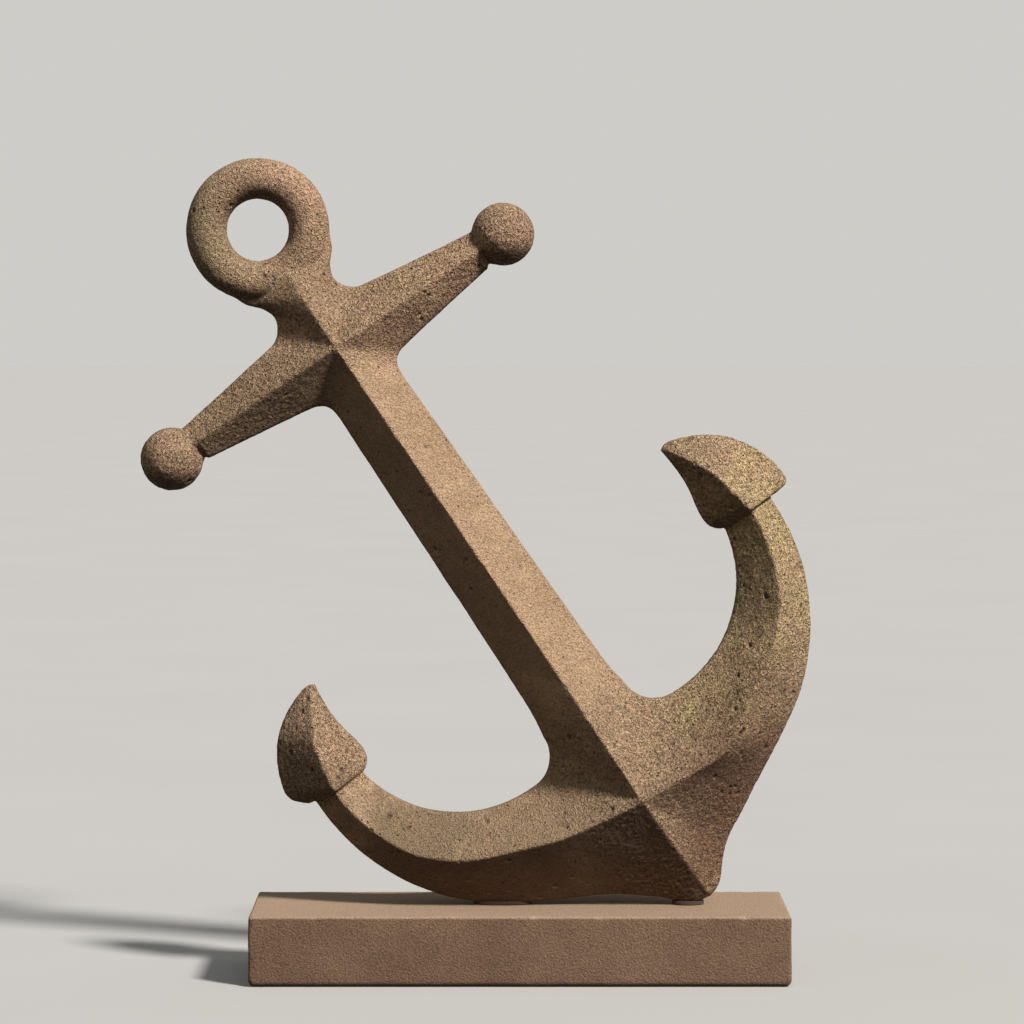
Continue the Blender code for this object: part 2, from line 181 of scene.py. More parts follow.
def arm_ridge_line(root_share, root_points):
    """The ridge from the crown's apex through the root points, then between the two arcs."""
    share = root_share + (RIDGE_SHARE - root_share) * np.clip(arm_gone / 0.45, 0, 1)
    upper = np.column_stack([arm_inner + (arm_outer - arm_inner) * share, 1.03 * arm_half])
    return joined(smooth_curve([CROWN_APEX, *root_points, upper[0]]), upper)


arm_ridge = {
    1: arm_ridge_line(0.50, [(0.040, -0.0045, 0.0600), (0.0787, -0.0060, 0.0520)]),
    -1: arm_ridge_line(0.42, [(0.034, 0.0030, 0.0605), (0.075, 0.0100, 0.0520)]),
}
shank_ridge = np.array([HUB_APEX, (0, 0.392, 0.0325), (0, 0.110, 0.0380), CROWN_APEX])
stock_ridge = np.array([(0.150, STOCK_Z, 0.0140), (0.100, STOCK_Z, 0.0185), (0.050, STOCK_Z, 0.0262),
                        HUB_APEX])
neck_ridge = np.array([HUB_APEX, (0, 0.490, 0.0270), (0, 0.505, 0.0215), (0, 0.522, 0.0140)])
tip_ridge = np.array([CROWN_APEX, (0, -0.070, 0.0290), (0, -0.098, 0.0110)])
print("arm half width from", round(arm_half[-1], 4), "to", round(arm_half[0], 4))

# %% [markdown]
# The outline follows, in the same order as the ridges. Where two members meet, the
# outline turns in a fillet, and the fillet's middle is paired with the apex of the
# ridges. That makes the flats flow into each other across the crook.

# %% Outline edges
STOCK_INNER_HALF = 0.0289
hub_lower = smooth_curve([(0.052, STOCK_Z - STOCK_INNER_HALF), (0.0420, 0.4100), (0.0355, 0.4065)], 6)
stock_lower = joined(
    np.array([(0.150, STOCK_Z - 0.0150), (0.140, STOCK_Z - 0.0160), (0.100, STOCK_Z - 0.0217),
              (0.052, STOCK_Z - STOCK_INNER_HALF)]),
    hub_lower,
)
CROOK_CENTRE, CROOK_RADIUS = (0.069, 0.081), 0.029
shank_side = joined(
    smooth_curve([(0.0355, 0.4065), (0.0322, 0.4005), (0.0311, 0.390)], 6),
    smooth_curve([(0.0311, 0.390), (0.0320, 0.350), (0.0345, 0.200), (0.0360, 0.130), (0.0371, 0.101),
                  (0.0400, 0.0810)], 12),
    arc(CROOK_CENTRE, CROOK_RADIUS, 180, 225, 8),
)
arm_inner_edge = joined(
    arc(CROOK_CENTRE, CROOK_RADIUS, 225, 270, 8),
    arc(INNER_CENTRE, INNER_RADIUS, -90, -4, 90),
)
CROWN_OUTER = {
    1: [(0.110, -0.0333), (0.081, -0.0485), (0.061, -0.060), (0.0440, -0.0690), (0.0340, -0.0760)],
    -1: [(0.104, -0.0370), (0.0796, -0.0492), (0.0562, -0.0640), (0.0349, -0.0812)],
}
CROWN_TIP = {
    1: [(0.0250, -0.0850), (0.0185, -0.0925), (0.0110, -0.0995), (0, -0.1035)],
    -1: [(0.0270, -0.0890), (0.0200, -0.0955), (0.0115, -0.1012), (0, -0.1035)],
}
arm_outer_edge = {side: joined(arm_outer[::-1], smooth_curve([arm_outer[0], *CROWN_OUTER[side]], 8))
                  for side in (1, -1)}
tip_edge = {side: smooth_curve([CROWN_OUTER[side][-1], *CROWN_TIP[side]], 8) for side in (1, -1)}
neck_side = smooth_curve([(0.150, STOCK_Z + 0.0150), (0.140, STOCK_Z + 0.0160), (0.100, STOCK_Z + 0.0217),
                          (0.052, STOCK_Z + STOCK_INNER_HALF), (0.0410, 0.4722), (0.0345, 0.4770)], 8)
neck_edge = smooth_curve([(0.0345, 0.4770), (0.0300, 0.4840), (0.0290, 0.4910), (0.0335, 0.5010),
                          (0.0420, 0.5105), (0.0470, 0.5220)], 8)
right_edges = (stock_lower, shank_side, arm_inner_edge, arm_outer_edge[1], tip_edge[1])
print("outline points", sum(map(len, right_edges)))

# %% [markdown]
# Now the flats. For each pair of curves the points are set out evenly, rafters run from
# the edge to the ridge, and the surface is mirrored left to right and front to back. The
# outline keeps a thin band all round, as a cast edge is never a knife edge.
#
# The section isn't quite a straight-sided diamond. Its flats are a touch hollow or full
# here and there on the real casting, but straight rafters are closest overall.

# %% The roofed body of the anchor
EDGE_HALF = 0.005


def rafters(edge, ridge, count, rows=10):
    """A grid of points (count + 1 by rows + 1) from an edge curve up to a ridge curve."""
    edge, ridge = evenly(edge, count), evenly(ridge, count)
    low = np.column_stack([edge[:, 0], np.full(len(edge), -EDGE_HALF), edge[:, 1]])
    high = np.column_stack([ridge[:, 0], -ridge[:, 2], ridge[:, 1]])
    share = np.linspace(0, 1, rows + 1)[None, :, None]
    return low[:, None, :] * (1 - share) + high[:, None, :] * share


def add_grid(bm, grid, flip):
    points = grid * np.array([-1, 1, 1]) if flip else grid
    verts = [[bm.verts.new(p) for p in row] for row in points]
    for a, b in zip(verts, verts[1:]):
        for k in range(len(a) - 1):
            bm.faces.new((a[k], b[k], b[k + 1], a[k + 1]))


def roofed_mesh(name, grids):
    """A closed mesh from each side's front grids: mirrored to the back, with a band between."""
    bm = bmesh.new()
    for side, side_grids in grids.items():
        for grid in side_grids:
            add_grid(bm, grid, side < 0)
    bmesh.ops.remove_doubles(bm, verts=bm.verts, dist=2e-6)
    border = [e for e in bm.edges if e.is_boundary]
    back = {v: bm.verts.new((v.co.x, -v.co.y, v.co.z)) for v in list(bm.verts)}
    for face in list(bm.faces):
        bm.faces.new([back[v] for v in reversed(face.verts)])
    for e in border:
        a, b = e.verts
        bm.faces.new((a, b, back[b], back[a]))
    bmesh.ops.recalc_face_normals(bm, faces=bm.faces)
    mesh = bpy.data.meshes.new(name)
    bm.to_mesh(mesh)
    bm.free()
    return mesh


def body_grids(side):
    return [
        rafters(stock_lower, stock_ridge, STOCK_STEPS),
        rafters(shank_side, shank_ridge, SHANK_STEPS),
        rafters(arm_inner_edge, arm_ridge[side], ARM_STEPS),
        rafters(arm_outer_edge[side], arm_ridge[side][::-1], ARM_STEPS),
        rafters(tip_edge[side], tip_ridge, TIP_STEPS),
        rafters(neck_side, stock_ridge, STOCK_STEPS),
        rafters(neck_edge, neck_ridge, NECK_STEPS),
    ]


body_mesh = roofed_mesh("body_form", {1: body_grids(1), -1: body_grids(-1)})
print("roofed body", len(body_mesh.polygons), "faces")

# %% [markdown]
# The flukes are spade-shaped caps on the ends of the arms. They are wider and thicker
# than the arm, so their underside is a rounded lip that the arm runs into. The same
# rafters make them, with one ridge from the tip down to the lip. Each was dressed by hand
# after casting: the left one lost more of its outer corner.

# %% Flukes
FLUKE_LIP_Z = 0.1415
FLUKE_TIP, FLUKE_SHOULDER = (0.1712, 0.2225), (0.2245, 0.1990)
fluke_back = smooth_curve([FLUKE_TIP, (0.1775, 0.2250), (0.186, 0.2232), (0.2005, 0.2172),
                           (0.2140, 0.2085), FLUKE_SHOULDER], 6)
fluke_corner = {
    1: [(0.2345, 0.1840), (0.2405, 0.1690), (0.2435, 0.1530), (0.2425, 0.1445), (0.2370, FLUKE_LIP_Z)],
    -1: [(0.2335, 0.1850), (0.2395, 0.1700), (0.2415, 0.1600), (0.2385, 0.1525), (0.2300, 0.1445)],
}
fluke_outer = {side: joined(fluke_back, smooth_curve([FLUKE_SHOULDER, *fluke_corner[side]], 6))
               for side in (1, -1)}
fluke_inner = smooth_curve([FLUKE_TIP, (0.1722, 0.2150), (0.1733, 0.2020), (0.1732, 0.1900),
                            (0.1720, 0.1800), (0.1695, 0.1680), (0.1682, 0.1570), (0.1700, 0.1480),
                            (0.1760, FLUKE_LIP_Z)], 6)
fluke_ridge = smooth_curve([(*FLUKE_TIP, EDGE_HALF), (0.1755, 0.2190, 0.0095), (0.1840, 0.2060, 0.0205),
                            (0.1950, 0.1865, 0.0325), (0.2005, 0.1630, 0.0370), (0.2030, 0.1500, 0.0368),
                            (0.2036, 0.1455, 0.0358), (0.2040, 0.1425, 0.0328),
                            (0.2041, FLUKE_LIP_Z, 0.0290)], 6)
FLUKE_STEPS = 60


def fluke_mesh(side):
    return roofed_mesh("fluke_form", {side: [
        rafters(fluke_outer[side], fluke_ridge, FLUKE_STEPS),
        rafters(fluke_inner, fluke_ridge, FLUKE_STEPS),
    ]})


fluke_forms = [fluke_mesh(1), fluke_mesh(-1)]
print("flukes", [len(form.polygons) for form in fluke_forms], "faces")

# %% [markdown]
# The ring is a true torus and the ends of the stock are true spheres. Here they are only
# raw forms, which the next step fuses with the rest.

# %% Ring and balls
RING_Z, RING_MAJOR, RING_TUBE = 0.556, 0.0419, 0.0167
BALL_RADIUS = 0.0256


def ring_mesh(around=128, across=40):
    bm = bmesh.new()
    rows = []
    for a in np.linspace(0, 2 * math.pi, around, endpoint=False):
        row = []
        for b in np.linspace(0, 2 * math.pi, across, endpoint=False):
            reach = RING_MAJOR + RING_TUBE * math.cos(b)
            place = (reach * math.cos(a), RING_TUBE * math.sin(b), RING_Z + reach * math.sin(a))
            row.append(bm.verts.new(place))
        rows.append(row)
    for i, row in enumerate(rows):
        after = rows[(i + 1) % around]
        for k in range(across):
            n = (k + 1) % across
            bm.faces.new((row[k], after[k], after[n], row[n]))
    bmesh.ops.recalc_face_normals(bm, faces=bm.faces)
    mesh = bpy.data.meshes.new("ring_form")
    bm.to_mesh(mesh)
    bm.free()
    return mesh


def ball_mesh(side):
    bm = bmesh.new()
    bmesh.ops.create_icosphere(bm, subdivisions=5, radius=BALL_RADIUS)
    bmesh.ops.translate(bm, verts=bm.verts, vec=(side * BALL_X, 0, STOCK_Z))
    mesh = bpy.data.meshes.new("ball_form")
    bm.to_mesh(mesh)
    bm.free()
    return mesh


print("ring hole", round(2000 * (RING_MAJOR - RING_TUBE), 1), "mm across")

# %% [markdown]
# A casting has no seams where its members cross. A voxel remesh gives exactly that: it
# fills the overlapping forms with small cubes and lays one new skin round them. A few
# rounds of smoothing then round the ridges and fillets, as a rubber mould does.

# %% Fuse the forms into one casting
VOXEL = 0.00115
SMOOTHING_ROUNDS = 8


def fused_mesh(forms):
    bm = bmesh.new()
    for form in forms:
        bm.from_mesh(form)
    joined_forms = bpy.data.meshes.new("casting")
    bm.to_mesh(joined_forms)
    bm.free()
    holder = bpy.data.objects.new("casting", joined_forms)
    bpy.context.collection.objects.link(holder)
    remesh = holder.modifiers.new("skin", "REMESH")
    remesh.mode = "VOXEL"
    remesh.voxel_size = VOXEL
    smooth = holder.modifiers.new("soften", "SMOOTH")
    smooth.factor = 0.5
    smooth.iterations = SMOOTHING_ROUNDS
    depsgraph = bpy.context.evaluated_depsgraph_get()
    mesh = bpy.data.meshes.new_from_object(holder.evaluated_get(depsgraph))
    bpy.data.objects.remove(holder)
    return mesh


casting = fused_mesh([body_mesh, *fluke_forms, ring_mesh(), ball_mesh(1), ball_mesh(-1)])
print("fused casting", len(casting.vertices), "points")

# %% [markdown]
# Sand and cement leave their marks. Three sizes of them are real geometry here: slow
# waves of a hand-finished mould, the wrinkled grain of the facing mix, and air holes
# where bubbles sat against the mould. Finer grain belongs to the material.
#
# The grain is not the same everywhere. The shank and the low left arm were rubbed down
# and are fine, the ring is half as coarse as the rest. That is stored on the skin as a
# number, because the finish will need it too. So is how pitted each place is: the mix
# traps air on the stock and its balls, the ring, the flukes and low on the crown.

# %% Where the skin is coarse and where it is pitted
def fade(distance, width):
    """1 where distance is well below 0, 0 where it is well above, smooth between."""
    return 1 / (1 + np.exp(np.clip(distance / width * 4, -40, 40)))


def fine_share(points):
    x, z = points[:, 0], points[:, 2]
    shank = fade(np.abs(x) - 0.042, 0.02) * fade(0.085 - z, 0.03) * fade(z - 0.430, 0.03)
    neck = 0.5 * fade(0.47 - z, 0.02)
    left_arm = 0.95 * fade(x + 0.05, 0.04) * fade(z - 0.14, 0.02)
    right_arm = 0.55 * fade(0.150 - z, 0.04) * fade(z - 0.15, 0.01)
    return np.maximum.reduce([shank, neck, left_arm, right_arm * (x > 0)])


def pitted_share(points):
    x, z = points[:, 0], points[:, 2]
    stock = 0.55 * fade(0.395 - z, 0.02) * fade(0.045 - np.abs(x), 0.02)
    ring = 0.55 * fade(0.50 - z, 0.03)
    flukes = 0.75 * fade(0.15 - z, 0.02) * fade(z - 0.30, 0.02) * fade(0.15 - np.abs(x), 0.02)
    crown = 0.9 * fade(np.hypot(x - 0.085, z - 0.015) - 0.075, 0.05)
    arms = 0.35 * fade(z - 0.15, 0.02) * fade(0.08 - np.abs(x), 0.03)
    return np.clip(0.12 + np.maximum.reduce([stock, ring, flukes, crown, arms]), 0, 1)


def store(mesh, name, values):
    layer = mesh.attributes.new(name, "FLOAT", "POINT")
    layer.data.foreach_set("value", np.asarray(values, np.float32))


# %% [markdown]
# With those two numbers stored, the skin is roughened. Each point moves a little along its
# own direction: out or in with the noises, and inwards where it lies in an air hole. A
# seed fixes the holes, so they fall in the same places every time. Under each ball, where
# the mould halves met, a crease runs round the end of the stock.

# %% Cast skin
WAVE_DEPTH, WRINKLE_DEPTH, GRAIN_DEPTH = 0.0004, 0.00018, 0.00022
WAVE_SCALE, WRINKLE_SCALE, GRAIN_SCALE = 38, 170, 330
AIR_HOLES, HOLE_LEAST, HOLE_SPREAD = 420, 0.0012, 0.0010
HOLE_RIM, HOLE_DEEP = 1.3, 0.85
CREASE_DEPTH, CREASE_HALF, CREASE_IN = 0.0024, 0.0030, 0.0232
rng = random.Random(41)


def points_of(mesh):
    flat = np.empty(len(mesh.vertices) * 3, np.float32)
    mesh.vertices.foreach_get("co", flat)
    return flat.reshape(-1, 3).astype(float)


def normals_of(mesh):
    flat = np.empty(len(mesh.vertices) * 3, np.float32)
    mesh.vertex_normals.foreach_get("vector", flat)
    return flat.reshape(-1, 3).astype(float)


def noise_at(points, scale, seed):
    shift = Vector((seed * 7.3, seed * 3.1, seed * 5.7))
    return np.array([noise.noise(Vector(p) * scale + shift) for p in points])


def air_hollows(points, likely):
    """How deep each point lies in an air hole."""
    tree = kdtree.KDTree(len(points))
    for i, p in enumerate(points):
        tree.insert(p, i)
    tree.balance()
    hollow = np.zeros(len(points))
    made = 0
    while made < AIR_HOLES:
        i = rng.randrange(len(points))
        if rng.random() > likely[i]:
            continue
        radius = HOLE_LEAST + HOLE_SPREAD * rng.random() ** 3
        for _, k, distance in tree.find_range(points[i], radius * HOLE_RIM):
            t = distance / (radius * HOLE_RIM)
            hollow[k] = max(hollow[k], radius * HOLE_DEEP * (1 - t * t))
        made += 1
    return hollow


def ball_crease(points):
    """The groove under each ball where it sits on the end of the stock."""
    off = np.abs(np.abs(points[:, 0]) - (BALL_X - CREASE_IN)) / CREASE_HALF
    under = np.clip((STOCK_Z - 0.002 - points[:, 2]) / 0.006, 0, 1) * (points[:, 2] > 0.35)
    return CREASE_DEPTH * np.clip(1 - off, 0, 1) * under


def weather(mesh):
    points, normals = points_of(mesh), normals_of(mesh)
    coarse, pitted = 1 - 0.75 * fine_share(points), pitted_share(points)
    waves = noise_at(points, WAVE_SCALE, 1)
    wrinkles = 1 - 3 * np.abs(noise_at(points, WRINKLE_SCALE, 2))
    grain = noise_at(points, GRAIN_SCALE, 3)
    push = WAVE_DEPTH * waves + coarse * (WRINKLE_DEPTH * wrinkles + GRAIN_DEPTH * grain)
    hollow = air_hollows(points, pitted)
    moved = points + normals * (push - hollow - ball_crease(points))[:, None]
    mesh.vertices.foreach_set("co", moved.astype(np.float32).ravel())
    mesh.update()
    store(mesh, "air_hole", np.clip(hollow / HOLE_LEAST, 0, 1))
    store(mesh, "coarse", coarse)
    store(mesh, "pitted", pitted)
    return float(np.abs(push).max()), int((hollow > 0).sum())


deepest, holed = weather(casting)
print("deepest relief", round(deepest * 1000, 2), "mm;", holed, "points in air holes")

# %% [markdown]
# The real anchor is cast in sections over steel bars, so the fused skin is now divided at
# the joints of the design model. Each section is what lies between a few flat cuts. The
# cut faces are filled, which leaves every casting a closed body of its own.
#
# A cut would show as a faint line, because each half would be shaded alone. So the
# shading directions of the whole skin are stored on it first, travel with the points
# through the cuts, and are put back on each section.

# %% Divide the casting into its sections
CUT_SIDE = {"left": -1, "right": 1}


def frame_planes(node):
    """Lowest and highest corner of a CAD node in the anchor's own frame."""
    upright = anchor_frame.inverted()
    points = np.array([upright @ v.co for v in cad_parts[node].data.vertices])
    return points.min(0), points.max(0)


shank_low, shank_high = frame_planes("shank")
_, head_high = frame_planes("head_hub")
arm_low, arm_high = frame_planes("arm_right")
stock_low, stock_high = frame_planes("stock_arm_right")
SHANK_FOOT, SHANK_TOP = shank_low[2], shank_high[2]
NECK_CUT = head_high[2]
STOCK_CUT, BALL_CUT = stock_low[0], stock_high[0]
ARM_CUT, FLUKE_CUT = arm_low[0], arm_high[2]
HIGH_HALF = 0.30
all_cuts = (SHANK_FOOT, SHANK_TOP, NECK_CUT, STOCK_CUT, BALL_CUT, ARM_CUT, FLUKE_CUT)
print("cuts, mm:", [round(1000 * v, 1) for v in all_cuts])


def section(name, cuts):
    """The part of the casting on the kept side of each cut: (axis, place, kept side)."""
    bm = bmesh.new()
    bm.from_mesh(casting)
    for axis, place, kept in cuts:
        corner, outward = Vector((0, 0, 0)), Vector((0, 0, 0))
        corner[axis] = place
        outward[axis] = -kept
        result = bmesh.ops.bisect_plane(
            bm, geom=bm.verts[:] + bm.edges[:] + bm.faces[:], plane_co=corner, plane_no=outward,
            clear_outer=True,
        )
        rim = [e for e in result["geom_cut"] if isinstance(e, bmesh.types.BMEdge)]
        if rim:
            caps = bmesh.ops.contextual_create(bm, geom=rim)
            bmesh.ops.triangulate(bm, faces=caps["faces"])
    mesh = bpy.data.meshes.new(name)
    bm.to_mesh(mesh)
    bm.free()
    return mesh


def shading_of(mesh, cuts):
    """The stored directions for the skin's corners, and the flat direction for a cut's corners."""
    stored = np.empty(len(mesh.vertices) * 3, np.float32)
    mesh.attributes["skin_normal"].data.foreach_get("vector", stored)
    stored = stored.reshape(-1, 3)
    corners = np.empty(len(mesh.loops), np.int32)
    mesh.loops.foreach_get("vertex_index", corners)
    directions = stored[corners]
    for face in mesh.polygons:
        for axis, place, _ in cuts:
            if abs(abs(face.normal[axis]) - 1) < 1e-4 and abs(face.center[axis] - place) < 1e-6:
                directions[face.loop_start:face.loop_start + face.loop_total] = face.normal
    lengths = np.linalg.norm(directions, axis=1, keepdims=True)
    return directions / np.maximum(lengths, 1e-9)


skin_normals = casting.attributes.new("skin_normal", "FLOAT_VECTOR", "POINT")
skin_normals.data.foreach_set("vector", normals_of(casting).astype(np.float32).ravel())


def make_section(name, cuts):
    mesh = section(name, cuts)
    mesh.shade_smooth()
    directions = shading_of(mesh, cuts)
    mesh.attributes.remove(mesh.attributes["skin_normal"])
    mesh.normals_split_custom_set(directions.tolist())
    mesh.transform(anchor_frame)
    obj = bpy.data.objects.new(f"{name}_cast", mesh)
    bpy.context.collection.objects.link(obj)
    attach(obj, "root")
    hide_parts(name)
    print(name, len(mesh.polygons), "faces")
    return obj


X, Z, ABOVE, BELOW = 0, 2, 1, -1
sections = {
    "shank": [(Z, SHANK_FOOT, ABOVE), (Z, SHANK_TOP, BELOW), (X, ARM_CUT, BELOW), (X, -ARM_CUT, ABOVE)],
    "crown": [(Z, SHANK_FOOT, BELOW), (X, ARM_CUT, BELOW), (X, -ARM_CUT, ABOVE)],
    "head_hub": [(Z, SHANK_TOP, ABOVE), (Z, NECK_CUT, BELOW),
                 (X, STOCK_CUT, BELOW), (X, -STOCK_CUT, ABOVE)],
    "ring_eye": [(Z, NECK_CUT, ABOVE)],
}
for label, side in CUT_SIDE.items():
    sections[f"stock_arm_{label}"] = [(Z, HIGH_HALF, ABOVE), (Z, NECK_CUT, BELOW),
                                      (X, side * STOCK_CUT, side), (X, side * BALL_CUT, -side)]
    sections[f"stock_ball_{label}"] = [(Z, HIGH_HALF, ABOVE), (X, side * BALL_CUT, side)]
    sections[f"arm_{label}"] = [(X, side * ARM_CUT, side), (Z, FLUKE_CUT, BELOW)]
    sections[f"fluke_{label}"] = [(Z, HIGH_HALF, BELOW), (X, side * ARM_CUT, side),
                                  (Z, FLUKE_CUT, ABOVE)]

castings = {name: make_section(name, cuts) for name, cuts in sections.items()}

# %% [markdown]
# The plinth is a plain block, but a cast block is never a perfect box. Its upper edges
# are softly rounded, its lower edge is chamfered so that it lifts cleanly out of the
# mould, and its corners have lost a few crumbs. The block's points are laid closely
# along the edges, where the roundness is, and each is then pushed out from a smaller
# box inside, which rounds every edge at once.

# %% Plinth
TOP_ROUND, FOOT_ROUND = 0.0026, 0.0046
FACE_CELL, EDGE_CELLS = 0.0035, 4
CRUMB_REACH, CRUMB_DEPTH, CRUMB_SCALE, CRUMB_FROM = 0.0045, 0.0026, 95, 0.22
BLOCK_WAVE, BLOCK_GRAIN, BLOCK_INSET = 0.00022, 0.00014, 0.0003
POCKET_GAP, BORE_GAP, OVERSHOOT = 0.002, 0.0003, 0.01


def lines_across(low, high, round_low, round_high):
    """Places for grid lines between two faces: close together within the rounded edges."""
    inner_low, inner_high = low + round_low, high - round_high
    near = np.linspace(low, inner_low, EDGE_CELLS, endpoint=False)
    middle = np.linspace(inner_low, inner_high, max(2, round((inner_high - inner_low) / FACE_CELL)) + 1)
    far = np.linspace(inner_high, high, EDGE_CELLS + 1)[1:]
    return np.concatenate([near, middle, far])


def block_mesh(name, low, high, top_round, foot_round):
    spans = [lines_across(low[0], high[0], foot_round, foot_round),
             lines_across(low[1], high[1], foot_round, foot_round),
             lines_across(low[2], high[2], foot_round, top_round)]
    bm = bmesh.new()
    for axis in range(3):
        across, up = [a for a in range(3) if a != axis]
        for place in (spans[axis][0], spans[axis][-1]):
            rows = []
            for s in spans[across]:
                row = []
                for t in spans[up]:
                    p = [0.0, 0.0, 0.0]
                    p[axis], p[across], p[up] = place, s, t
                    row.append(bm.verts.new(p))
                rows.append(row)
            for a, b in zip(rows, rows[1:]):
                for k in range(len(a) - 1):
                    bm.faces.new((a[k], b[k], b[k + 1], a[k + 1]))
    bmesh.ops.remove_doubles(bm, verts=bm.verts, dist=1e-6)
    bmesh.ops.recalc_face_normals(bm, faces=bm.faces)
    for v in bm.verts:
        radius = foot_round if v.co.z < low[2] + foot_round else top_round
        inside = Vector(min(max(v.co[i], low[i] + radius), high[i] - radius) for i in range(3))
        away = v.co - inside
        if away.length > 1e-9:
            v.co = inside + away.normalized() * radius
    mesh = bpy.data.meshes.new(name)
    bm.to_mesh(mesh)
    bm.free()
    return mesh


def crumble(mesh, low, high, seed):
    """Slight waves on the faces, and crumbs missing along the edges."""
    points, normals = points_of(mesh), normals_of(mesh)
    near_faces = (np.minimum(points - low, high - points) < CRUMB_REACH).sum(1)
    upper = np.clip((points[:, 2] - low[2]) / 0.02, 0.2, 1)
    crumbs = np.clip(noise_at(points, CRUMB_SCALE, seed) - CRUMB_FROM, 0, 1)
    crumbs = crumbs * (near_faces >= 2) * upper * CRUMB_DEPTH
    waves = noise_at(points, 30, seed + 1) * BLOCK_WAVE + noise_at(points, 240, seed + 2) * BLOCK_GRAIN
    moved = points + normals * (waves - crumbs - BLOCK_INSET)[:, None]
    moved[:, 2] = np.where(points[:, 2] < low[2] + 1e-5, low[2], moved[:, 2])
    mesh.vertices.foreach_set("co", moved.astype(np.float32).ravel())
    mesh.update()


def pocket(name, node, low, high, clearance):
    """A round cutter about a fastening of the design model."""
    a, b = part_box(node)
    bm = bmesh.new()
    bmesh.ops.create_cone(bm, cap_ends=True, segments=48, depth=high - low,
                          radius1=(b.x - a.x) / 2 + clearance, radius2=(b.x - a.x) / 2 + clearance)
    bmesh.ops.translate(bm, verts=bm.verts, vec=((a.x + b.x) / 2, (a.y + b.y) / 2, (low + high) / 2))
    mesh = bpy.data.meshes.new(name)
    bm.to_mesh(mesh)
    bm.free()
    cutter = bpy.data.objects.new(name, mesh)
    bpy.context.collection.objects.link(cutter)
    return cutter


def make_plinth():
    low, high = (np.array(corner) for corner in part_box("plinth"))
    mesh = block_mesh("plinth", low, high, TOP_ROUND, FOOT_ROUND)
    crumble(mesh, low, high, 11)
    block = bpy.data.objects.new("plinth_block", mesh)
    bpy.context.collection.objects.link(block)
    cutters = []
    for label in ("arm", "crown"):
        washer_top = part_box(f"{label}_washer")[1].z
        cutters.append(pocket(f"{label}_pocket", f"{label}_washer", -OVERSHOOT,
                              washer_top + BORE_GAP, POCKET_GAP))
        cutters.append(pocket(f"{label}_bore", f"{label}_stud", -OVERSHOOT,
                              high[2] + OVERSHOOT, BORE_GAP))
    for cutter in cutters:
        cut = block.modifiers.new(cutter.name, "BOOLEAN")
        cut.object = cutter
    evaluated = block.evaluated_get(bpy.context.evaluated_depsgraph_get())
    block.data = bpy.data.meshes.new_from_object(evaluated)
    block.modifiers.clear()
    for cutter in cutters:
        bpy.data.objects.remove(cutter)
    block.data.shade_smooth()
    block.data.set_sharp_from_angle(angle=math.radians(50))
    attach(block, "root")
    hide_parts("plinth")
    print("plinth", len(block.data.polygons), "faces")
    return block


plinth = make_plinth()

# %% [markdown]
# ## Finishes
#
# Each finish is a small node tree. The trees share a few steps, so six helpers make them
# short: they start a material, add a noise, stretch a range, mix two colours, add a bump,
# and tell how far a surface faces up. All patterns are laid out in the object's own
# metres, so a grain of sand is the same size on the ring as on the plinth.

# %% Helpers for the finishes
def new_finish(name):
    material = bpy.data.materials.new(name)
    material.use_nodes = True
    tree = material.node_tree
    place = tree.nodes.new("ShaderNodeTexCoord").outputs["Object"]
    return material, tree, tree.nodes["Principled BSDF"], place


def noise_node(tree, place, scale, detail=3.0, roughness=0.55, distortion=0.0):
    node = tree.nodes.new("ShaderNodeTexNoise")
    tree.links.new(place, node.inputs["Vector"])
    node.inputs["Scale"].default_value = scale
    node.inputs["Detail"].default_value = detail
    node.inputs["Roughness"].default_value = roughness
    node.inputs["Distortion"].default_value = distortion
    return node.outputs["Fac"]


def ranged(tree, value, low, high, to_low=0.0, to_high=1.0):
    node = tree.nodes.new("ShaderNodeMapRange")
    tree.links.new(value, node.inputs["Value"])
    limits = {"From Min": low, "From Max": high, "To Min": to_low, "To Max": to_high}
    for socket, number in limits.items():
        node.inputs[socket].default_value = number
    return node.outputs["Result"]


def mixed(tree, share, a, b, blend="MIX"):
    """Mixes two colours. Each is a socket or a colour, and so is the share (or a number)."""
    node = tree.nodes.new("ShaderNodeMix")
    node.data_type = "RGBA"
    node.blend_type = blend
    for socket, value in zip((node.inputs[0], node.inputs[6], node.inputs[7]), (share, a, b)):
        if isinstance(value, bpy.types.NodeSocket):
            tree.links.new(value, socket)
        else:
            socket.default_value = (*value, 1) if isinstance(value, tuple) else value
    return node.outputs[2]


def bumped(tree, height, distance, strength, under=None):
    node = tree.nodes.new("ShaderNodeBump")
    tree.links.new(height, node.inputs["Height"])
    node.inputs["Distance"].default_value = distance
    node.inputs["Strength"].default_value = strength
    if under is not None:
        tree.links.new(under, node.inputs["Normal"])
    return node.outputs["Normal"]


def facing_up(tree):
    """The upward part of the surface's direction, from -1 to 1."""
    geometry = tree.nodes.new("ShaderNodeNewGeometry")
    split = tree.nodes.new("ShaderNodeSeparateXYZ")
    tree.links.new(geometry.outputs["Normal"], split.inputs[0])
    return split.outputs["Z"]
